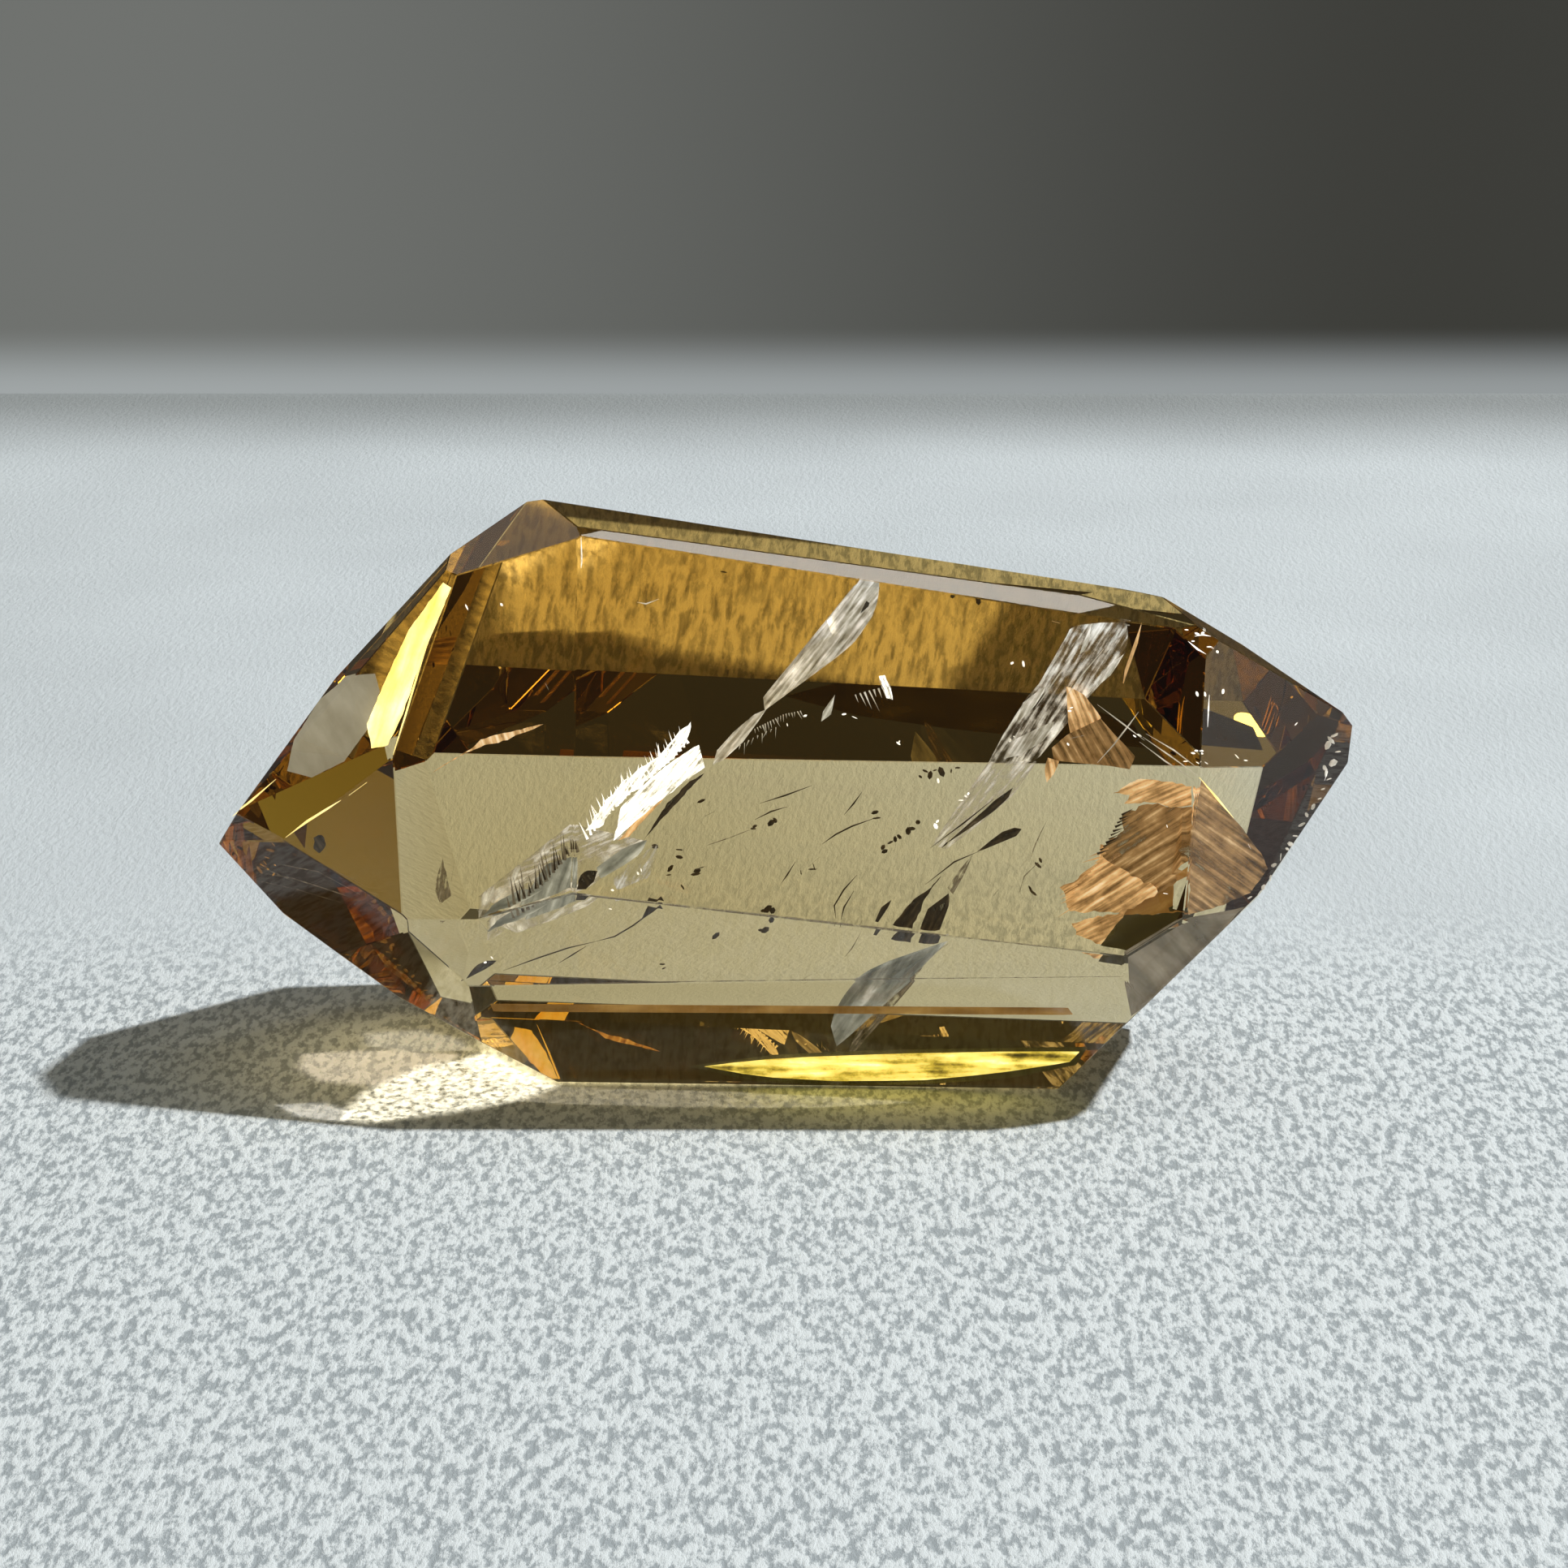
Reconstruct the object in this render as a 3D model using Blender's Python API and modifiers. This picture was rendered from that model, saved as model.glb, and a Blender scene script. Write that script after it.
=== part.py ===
"""Citrine freeform: one piece of polished quartz, cut on every side with flat facets.

Metres, +Z up. The stone rests on its base facet at z = 0, with the long way along X and the
large front facets towards -Y. The origin is on the resting plane, under the middle of the stone.

The stone is shaped as a cutter would do it: a rough block is ground flat on one side after
another. Each facet is a cut given by the direction that it faces (azimuth about Z, elevation
above the horizon) and by its distance from the heart, a point inside the stone.
"""
from math import cos, radians, sin

import bmesh
import bpy
from mathutils import Vector

MM = 0.001
HEART = Vector((-0.2, -0.3, 12.0)) * MM    # every cut is measured from here
ROUGH_BLOCK = (60.0, 30.0, 40.0)           # mm, the block before the first cut
POLISHED_EDGE = 0.10                       # mm, width of the soft edge that polishing leaves
FLATTEST_POLISHED_EDGE = 6.0               # degrees, facets that meet flatter than this stay as cut

# Name of the cut: (azimuth in degrees, elevation in degrees, distance from the heart in mm).
# Azimuth 0 faces the front, 90 the right end, 180 the back and -90 the left end.
BASE_CUTS = {
    "resting_facet": (0.0, -90.0, 12.0),
}
FRONT_CUTS = {
    "front_main": (1.0, 11.0, 7.6),
    "front_left": (-12.5, 11.0, 9.35),
    "front_girdle": (-2.5, -17.5, 8.55),
    "front_girdle_left": (-10.5, -15.5, 10.1),
    "front_girdle_right": (18.0, -16.0, 13.1),
    "front_undercut": (-2.0, -29.0, 9.05),
    "front_undercut_left": (-27.0, -28.0, 13.25),
}
TABLE_CUTS = {
    "table": (21.0, 68.0, 13.2),
    "table_bevel": (11.5, 53.5, 12.8),
    "table_left": (-26.5, 42.0, 15.05),
    "table_right": (22.0, 64.0, 13.55),
}
LEFT_POINT_CUTS = {
    "left_upper": (-32.5, 16.5, 13.75),
    "left_middle": (-26.5, 9.5, 12.5),
    "left_lower": (-35.0, -13.5, 14.9),
    "left_shoulder": (-62.5, 33.5, 18.15),
    "left_tip": (-37.0, -3.5, 15.7),
}
RIGHT_POINT_CUTS = {
    "right_upper": (31.0, 8.5, 15.3),
    "right_lower": (29.0, 7.0, 14.85),
    "right_shoulder": (92.5, 56.0, 17.55),
    "right_skin": (44.0, -1.0, 18.7),      # narrow strip of the crystal's own rough skin
    "corner_nick": (15.0, 24.5, 12.75),    # small chip where three facets meet
}
BACK_CUTS = {
    "back_main": (171.0, 6.5, 5.95),
    "back_slope": (172.0, 37.5, 5.05),
    "back_undercut": (173.0, -46.5, 10.3),
    "back_left": (-145.0, -6.0, 15.15),
    "back_left_top": (-139.5, 38.5, 12.25),
    "back_left_upper": (-105.5, 35.5, 17.95),
    "back_right": (135.0, -5.0, 15.75),
    "back_right_top": (142.5, 70.0, 12.0),
    "back_right_upper": (135.0, 45.5, 14.25),
}
LOWER_END_CUTS = {
    "left_keel_tip": (-68.0, -38.0, 19.15),
    "left_keel": (-59.5, -47.5, 16.6),
    "left_keel_foot": (-54.5, -54.0, 15.45),
    "right_keel_tip": (73.5, -31.5, 19.5),
    "right_keel": (65.0, -40.0, 17.7),
}
CUTTING_ORDER = (BASE_CUTS, FRONT_CUTS, BACK_CUTS, LEFT_POINT_CUTS, RIGHT_POINT_CUTS,
                 TABLE_CUTS, LOWER_END_CUTS)


def clear_scene():
    for obj in list(bpy.data.objects):
        bpy.data.objects.remove(obj, do_unlink=True)


def facing(azimuth, elevation):
    """Unit vector that a facet of this azimuth and elevation looks along."""
    a, e = radians(azimuth), radians(elevation)
    return Vector((sin(a) * cos(e), -cos(a) * cos(e), sin(e)))


def grind(stone, azimuth, elevation, distance):
    """Take everything beyond one plane off the stone and close the new facet."""
    normal = facing(azimuth, elevation)
    geometry = stone.verts[:] + stone.edges[:] + stone.faces[:]
    cut = bmesh.ops.bisect_plane(
        stone, geom=geometry, dist=1e-7, plane_co=HEART + normal * distance * MM,
        plane_no=normal, clear_outer=True)
    rim = [item for item in cut["geom_cut"] if isinstance(item, bmesh.types.BMEdge)]
    if rim:
        bmesh.ops.edgeloop_fill(stone, edges=rim)


def citrine_material():
    material = bpy.data.materials.new("citrine")
    material.use_nodes = True
    shader = material.node_tree.nodes["Principled BSDF"]
    shader.inputs["Base Color"].default_value = (0.72, 0.50, 0.16, 1.0)
    shader.inputs["Roughness"].default_value = 0.02
    shader.inputs["Metallic"].default_value = 0.0
    shader.inputs["IOR"].default_value = 1.55
    shader.inputs["Transmission Weight"].default_value = 1.0
    return material


def cut_stone():
    stone = bmesh.new()
    bmesh.ops.create_cube(stone, size=1.0)
    bmesh.ops.scale(stone, vec=[side * MM for side in ROUGH_BLOCK], verts=stone.verts)
    bmesh.ops.translate(stone, vec=HEART, verts=stone.verts)
    for cuts in CUTTING_ORDER:
        for azimuth, elevation, distance in cuts.values():
            grind(stone, azimuth, elevation, distance)
    bmesh.ops.remove_doubles(stone, verts=stone.verts, dist=0.02 * MM)
    bmesh.ops.recalc_face_normals(stone, faces=stone.faces)
    mesh = bpy.data.meshes.new("citrine_freeform")
    stone.to_mesh(mesh)
    stone.free()
    return mesh


def polish_edges(obj):
    bevel = obj.modifiers.new("polished_edges", "BEVEL")
    bevel.width = POLISHED_EDGE * MM
    bevel.segments = 1
    bevel.limit_method = "ANGLE"
    bevel.angle_limit = radians(FLATTEST_POLISHED_EDGE)
    bevel.use_clamp_overlap = True


def build():
    clear_scene()
    collection = bpy.data.collections.new("citrine_freeform")
    bpy.context.scene.collection.children.link(collection)
    mesh = cut_stone()
    mesh.materials.append(citrine_material())
    stone = bpy.data.objects.new("citrine_freeform", mesh)
    collection.objects.link(stone)
    polish_edges(stone)


build()
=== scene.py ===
import math
import random

import bmesh
import bpy
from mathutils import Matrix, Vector, noise


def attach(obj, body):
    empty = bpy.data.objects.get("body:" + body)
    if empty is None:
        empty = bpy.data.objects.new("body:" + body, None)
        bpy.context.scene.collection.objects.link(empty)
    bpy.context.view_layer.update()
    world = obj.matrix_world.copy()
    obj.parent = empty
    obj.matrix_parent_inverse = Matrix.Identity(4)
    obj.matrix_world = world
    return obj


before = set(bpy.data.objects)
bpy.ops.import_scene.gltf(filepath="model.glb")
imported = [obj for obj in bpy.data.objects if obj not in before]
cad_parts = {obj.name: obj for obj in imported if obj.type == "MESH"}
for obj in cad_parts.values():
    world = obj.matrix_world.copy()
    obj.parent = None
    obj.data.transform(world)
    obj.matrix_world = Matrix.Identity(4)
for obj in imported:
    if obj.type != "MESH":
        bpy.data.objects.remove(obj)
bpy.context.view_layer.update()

mm = 0.001
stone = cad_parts["citrine_freeform"]
print("stone loaded")


# camera

cameraView = {
    "side": 1932,  # picture units along the side of the square frame
    "spot": (0.2 * mm, -142.3 * mm, 58.9 * mm),
    "lookDown": 18.0,
    "fieldOfView": 26.0,
    "nearest": 0.01,
}


def makeCamera(values):
    data = bpy.data.cameras.new("camera")
    data.angle = math.radians(values["fieldOfView"])
    data.clip_start = values["nearest"]
    camera = bpy.data.objects.new("camera", data)
    camera.location = values["spot"]
    camera.rotation_euler = (math.radians(90.0 - values["lookDown"]), 0.0, 0.0)
    bpy.context.scene.collection.objects.link(camera)
    bpy.context.scene.camera = camera


makeCamera(cameraView)


# shader writing

class Wire:  # an output that can be used in plain sums
    def __init__(self, tree, socket):
        self.tree, self.socket = tree, socket

    def math(self, how, first, second):
        node = self.tree.nodes.new("ShaderNodeMath")
        node.operation = how
        join(self.tree, node.inputs[0], first)
        join(self.tree, node.inputs[1], second)
        return Wire(self.tree, node.outputs[0])

    def __add__(self, other):
        return self.math("ADD", self, other)

    def __rsub__(self, other):
        return self.math("SUBTRACT", other, self)

    def __mul__(self, other):
        return self.math("MULTIPLY", self, other)

    def __pow__(self, other):
        return self.math("POWER", self, other)

    __radd__, __rmul__ = __add__, __mul__


def join(tree, slot, value):
    if isinstance(value, Wire):
        tree.links.new(value.socket, slot)
    elif value is not None:
        slot.default_value = value


class Nodes:  # writes nodes into self.tree
    def node(self, kind, settings=None, inputs=None, out=0):
        made = self.tree.nodes.new(kind)
        for name, value in (settings or {}).items():
            if name == "stops":
                ramp = made.color_ramp
                while len(ramp.elements) < len(value):
                    ramp.elements.new(0.5)
                for element, (place, colour) in zip(ramp.elements, value):
                    element.position, element.color = place, colour
            else:
                setattr(made, name, value)
        for name, value in (inputs or {}).items():
            join(self.tree, made.inputs[name], value)
        return Wire(self.tree, made.outputs[out])


class Finish(Nodes):
    def __init__(self, name):
        self.material = bpy.data.materials.new(name)
        self.material.use_nodes = True
        self.tree = self.material.node_tree
        self.tree.nodes.clear()
        self.surface = self.tree.nodes.new("ShaderNodeOutputMaterial")

    def close(self, surface, volume=None):
        join(self.tree, self.surface.inputs["Surface"], surface)
        join(self.tree, self.surface.inputs["Volume"], volume)
        return self.material

    def noise(self, place, scale, detail, roughness=0.5):
        return self.node("ShaderNodeTexNoise", None, {
            "Vector": place, "Scale": scale, "Detail": detail, "Roughness": roughness})

    def ramp(self, tones, pattern):  # tones are pairs of a step and a colour
        return self.node("ShaderNodeValToRGB", {
            "stops": [(step, tone + (1.0,)) for step, tone in tones]}, {"Fac": pattern})

    def fade(self, value, start, end, low, high, curve="SMOOTHSTEP"):
        return self.node("ShaderNodeMapRange", {"interpolation_type": curve}, {
            "Value": value, "From Min": start, "From Max": end, "To Min": low, "To Max": high})

    def mix(self, share, first, second):  # of two colours
        return self.node("ShaderNodeMix", {"data_type": "RGBA"}, {0: share, 6: first, 7: second}, 2)


def dress(piece, material):
    piece.data.materials.clear()
    piece.data.materials.append(material)


# stone

citrine = {
    "refraction": 1.55,
    "absorbed": (22.0, 38.0, 84.0),  # per metre of stone, red, green and blue
    "deepest": 0.999,  # just under 1, so that no part of the tint is black
}


def citrineFinish(values):
    finish = Finish("citrine")
    strongest = max(values["absorbed"])
    tint = tuple(1.0 - share / strongest * values["deepest"] for share in values["absorbed"])
    shell = finish.node("ShaderNodeBsdfPrincipled", None, {
        "Base Color": (1.0, 1.0, 1.0, 1.0), "Roughness": 0.0, "Transmission Weight": 1.0,
        "IOR": values["refraction"]})
    inside = finish.node("ShaderNodeVolumeAbsorption", None, {
        "Color": tint + (1.0,), "Density": strongest})
    return finish.close(shell, inside)


dress(stone, citrineFinish(citrine))


# places inside the stone

def flatFaces(node, leastArea):  # (outward normal, distance) of every facet larger than leastArea
    facets = {}
    for face in node.data.polygons:
        key = tuple(round(part, 2) for part in face.normal)
        facet = facets.setdefault(key, [Vector(), Vector(), 0.0])
        facet[0] += face.normal * face.area
        facet[1] += face.center * face.area
        facet[2] += face.area
    planes = []
    for summed, spot, area in facets.values():
        if area > leastArea:
            normal = summed.normalized()
            planes.append((normal, normal.dot(spot / area)))
    return planes


grazing = 1e-6  # a facet that is more edge-on than this isn't met
sightReach = (0.02, 0.97)  # the nearest and the deepest share of the way to the back facet
leastFacet = 1.0 * mm * mm  # a smaller face is a polished edge


class Sight:  # follows a line of sight through a picture spot into the stone
    def __init__(self, view, planes, refraction):
        self.start = Vector(view["spot"])
        self.half = view["side"] / 2.0
        self.focal = self.half / math.tan(math.radians(view["fieldOfView"] / 2.0))
        down = math.radians(view["lookDown"])
        self.ahead = Vector((0.0, math.cos(down), -math.sin(down)))
        self.above = Vector((0.0, math.sin(down), math.cos(down)))
        self.planes, self.refraction = planes, refraction

    def line(self, x, y):
        across = (x - self.half) / self.focal
        up = (self.half - y) / self.focal
        return (self.ahead + Vector((1.0, 0.0, 0.0)) * across + self.above * up).normalized()

    def front(self, x, y):  # where the line meets the stone, and the facet's normal
        toward = self.line(x, y)
        reach, facet = max(((distance - normal.dot(self.start)) / normal.dot(toward), index)
                           for index, (normal, distance) in enumerate(self.planes)
                           if normal.dot(toward) < -grazing)
        return self.start + toward * reach, self.planes[facet][0], toward

    def inside(self, x, y, share):  # share 0 is on the front facet, 1 on the back facet
        spot, normal, toward = self.front(x, y)
        lean = -toward.dot(normal)
        ratio = 1.0 / self.refraction
        bent = toward * ratio + normal * (ratio * lean - math.sqrt(1.0 - ratio ** 2 * (1.0 - lean ** 2)))
        reach = min((distance - plane.dot(spot)) / plane.dot(bent)
                    for plane, distance in self.planes if plane.dot(bent) > grazing)
        nearest, deepest = sightReach
        return spot + bent * (max(reach, 0.0) * min(max(share, nearest), deepest))


sight = Sight(cameraView, flatFaces(stone, leastFacet), citrine["refraction"])


# fractures, flakes and specks inside the stone

pictureUnit = 0.0357 * mm  # about the size of one picture unit on the stone
leafValues = {
    "thick": 0.03 * mm,
    "jag": 1.5, "step": 6.0,  # unevenness and fineness of the outline, where a leaf names none
    "wide": 9.0, "narrow": 4.0, "narrowShare": 0.7,  # the two waves of the unevenness
    "unit": 100.0,  # picture units over which a depth's change and the streaks are given
}


def ripple(x, y, seed):  # a smooth wandering value from -1 to 1, another for each seed
    return noise.noise(Vector((x, y, seed * 7.31)))


def raggedOutline(outline, jag, step, seed):  # an outline of picture spots, cut finer and made uneven
    spots, wide, narrow = [], leafValues["wide"], leafValues["narrow"]
    for a, b in zip(outline, outline[1:] + outline[:1]):
        count = max(1, round(math.hypot(b[0] - a[0], b[1] - a[1]) / step))
        for part in range(count):
            x, y = (p + (q - p) * (part / count) for p, q in zip(a, b))
            push = jag * (ripple(x / wide, y / wide, seed)
                          + leafValues["narrowShare"] * ripple(x / narrow, y / narrow, seed + 3))
            spots.append((x + push * (b[1] - a[1]) / max(count * step, 1.0),
                          y - push * (b[0] - a[0]) / max(count * step, 1.0)))
    return spots


def addObject(name, mesh):
    piece = bpy.data.objects.new(name, mesh)
    bpy.context.scene.collection.objects.link(piece)
    return piece


def keepInStone(piece):  # the modifiers' result becomes the plain mesh, which belongs to the stone
    start = piece.data
    solid = bpy.data.meshes.new_from_object(piece.evaluated_get(bpy.context.evaluated_depsgraph_get()))
    piece.modifiers.clear()
    piece.data = solid
    solid.name = piece.name
    bpy.data.meshes.remove(start)
    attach(piece, "root")


def makeLeaf(name, values):  # a thin flat fracture with a ragged outline
    jag, step = values.get("jag", leafValues["jag"]), values.get("step", leafValues["step"])
    spots = raggedOutline(values["outline"], jag, step, values["seed"])
    fromX, fromY = values["outline"][0]
    shareX, shareY = values.get("slope", (0.0, 0.0))
    turn = math.radians(values["streaks"])  # direction of the streaks in the picture
    unit = leafValues["unit"]
    steps = [((x - fromX) / unit, (y - fromY) / unit) for x, y in spots]
    shape = bmesh.new()
    uv = shape.loops.layers.uv.new("along_across")
    face = shape.faces.new([shape.verts.new(sight.inside(x, y, values["depth"] + shareX * dx + shareY * dy))
                            for (x, y), (dx, dy) in zip(spots, steps)])
    for loop, (dx, dy) in zip(face.loops, steps):
        loop[uv].uv = (dx * math.cos(turn) + dy * math.sin(turn), dy * math.cos(turn) - dx * math.sin(turn))
    bmesh.ops.triangulate(shape, faces=[face], ngon_method="EAR_CLIP")
    shape.normal_update()
    mesh = bpy.data.meshes.new(name)
    shape.to_mesh(mesh)
    shape.free()
    leaf = addObject(name, mesh)
    dress(leaf, finishes[values["finish"]])
    skin = leaf.modifiers.new("skin", "SOLIDIFY")
    skin.thickness, skin.offset = leafValues["thick"], 0.0
    keepInStone(leaf)


class Shaper(Nodes):  # a geometry tree with named inputs
    def __init__(self, name, inputs):
        self.tree = bpy.data.node_groups.new(name, "GeometryNodeTree")
        self.tree.interface.new_socket("Geometry", in_out="INPUT", socket_type="NodeSocketGeometry")
        for label, kind in inputs.items():
            self.tree.interface.new_socket(label, in_out="INPUT", socket_type="NodeSocket" + kind)
        self.tree.interface.new_socket("Geometry", in_out="OUTPUT", socket_type="NodeSocketGeometry")
        self.start = self.tree.nodes.new("NodeGroupInput")
        self.end = self.tree.nodes.new("NodeGroupOutput")

    def given(self, label):
        return Wire(self.tree, self.start.outputs[label])

    def close(self, geometry):
        whole = self.node("GeometryNodeRealizeInstances", None, {"Geometry": geometry})
        dressed = self.node("GeometryNodeSetMaterial", None, {
            "Geometry": whole, "Material": self.given("Finish")})
        join(self.tree, self.end.inputs["Geometry"], dressed)
        return self.tree

    def random(self, low, high, seed):
        return self.node("FunctionNodeRandomValue", {"data_type": "FLOAT_VECTOR"}, {
            "Min": low, "Max": high, "Seed": seed})


fullTurn = (6.283, 6.283, 6.283)
threadEnd = 0.15  # share of a thread's thickness that is left at its ends
roundSides = 5  # of a barb and of a thread


def speckTree():  # a small flake on every point, each turned and sized its own way
    shaper = Shaper("specks", {"Size": "Float", "Slim": "Float", "Seed": "Int", "Finish": "Material"})
    flake = shaper.node("GeometryNodeMeshIcoSphere", None, {"Radius": 1.0, "Subdivisions": 1})
    seed = shaper.given("Seed")
    spin = shaper.random((0.0, 0.0, 0.0), fullTurn, seed)
    grow = shaper.random((0.25, 0.55, 0.8), (0.5, 1.0, 1.7), seed + 1.0)
    slim = shaper.node("ShaderNodeCombineXYZ", None, {"X": shaper.given("Slim"), "Y": 1.0, "Z": 1.0})
    size = shaper.node("ShaderNodeVectorMath", {"operation": "SCALE"}, {
        0: grow, "Scale": shaper.given("Size")})
    size = shaper.node("ShaderNodeVectorMath", {"operation": "MULTIPLY"}, {0: size, 1: slim})
    return shaper.close(shaper.node("GeometryNodeInstanceOnPoints", None, {
        "Points": shaper.given("Geometry"), "Instance": flake, "Rotation": spin, "Scale": size}))


def barbTree():  # blades standing in a row along a line, like the barbs of a feather
    shaper = Shaper("barbs", {"Count": "Int", "Length": "Float", "Width": "Float", "Toward": "Vector",
                              "Spread": "Float", "Seed": "Int", "Finish": "Material"})
    line = shaper.node("GeometryNodeMeshToCurve", None, {"Mesh": shaper.given("Geometry")})
    line = shaper.node("GeometryNodeResampleCurve", None, {"Curve": line, "Count": shaper.given("Count")})
    blade = shaper.node("GeometryNodeMeshCone", None, {
        "Vertices": roundSides, "Radius Top": 0.0, "Radius Bottom": shaper.given("Width"),
        "Depth": shaper.given("Length")})
    aim = shaper.node("FunctionNodeAlignRotationToVector", {"axis": "Z"}, {"Vector": shaper.given("Toward")})
    seed, spread = shaper.given("Seed"), shaper.given("Spread")
    sway = shaper.node("ShaderNodeVectorMath", {"operation": "SCALE"}, {
        0: shaper.random((-1.0, -1.0, -3.0), (1.0, 1.0, 3.0), seed), "Scale": spread})
    aim = shaper.node("FunctionNodeRotateRotation", {"rotation_space": "LOCAL"}, {
        "Rotation": aim, "Rotate By": sway})
    size = shaper.random((0.5, 0.5, 0.35), (1.2, 1.2, 1.25), seed + 1.0)
    return shaper.close(shaper.node("GeometryNodeInstanceOnPoints", None, {
        "Points": line, "Instance": blade, "Rotation": aim, "Scale": size}))


def threadTree():  # a fine line that thins out towards both ends
    shaper = Shaper("threads", {"Thickness": "Float", "Finish": "Material"})
    line = shaper.node("GeometryNodeMeshToCurve", None, {"Mesh": shaper.given("Geometry")})
    run = shaper.node("GeometryNodeSplineParameter")
    swell = (run * (1.0 - run) * 4.0) ** 0.5
    ring = shaper.node("GeometryNodeCurvePrimitiveCircle", None, {
        "Resolution": roundSides, "Radius": shaper.given("Thickness")})
    return shaper.close(shaper.node("GeometryNodeCurveToMesh", None, {
        "Curve": line, "Profile Curve": ring, "Scale": threadEnd + swell * (1.0 - threadEnd),
        "Fill Caps": True}))


def shapeWith(tree, name, mesh, values):  # runs a geometry tree on a mesh and keeps the plain result
    piece = addObject(name, mesh)
    made = piece.modifiers.new(tree.name, "NODES")
    made.node_group = tree
    for item in tree.interface.items_tree:
        if item.item_type == "SOCKET" and item.in_out == "INPUT" and item.name in values:
            made[item.identifier] = values[item.name]
    keepInStone(piece)


def lineMesh(name, lines):
    spots, edges = [], []
    for line in lines:
        first = len(spots)
        spots += [sight.inside(*spot) for spot in line]
        edges += [(first + i, first + i + 1) for i in range(len(line) - 1)]
    mesh = bpy.data.meshes.new(name)
    mesh.from_pydata(spots, edges, [])
    return mesh


# finishes of the fractures: tones run from the hollows to the glints of the pattern, and each finish also
# shines by itself in these tones, which is painted light: painted glints and sheen on the fractures; cover
# gives where it starts and ends being there and the least and most that it hides

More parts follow.
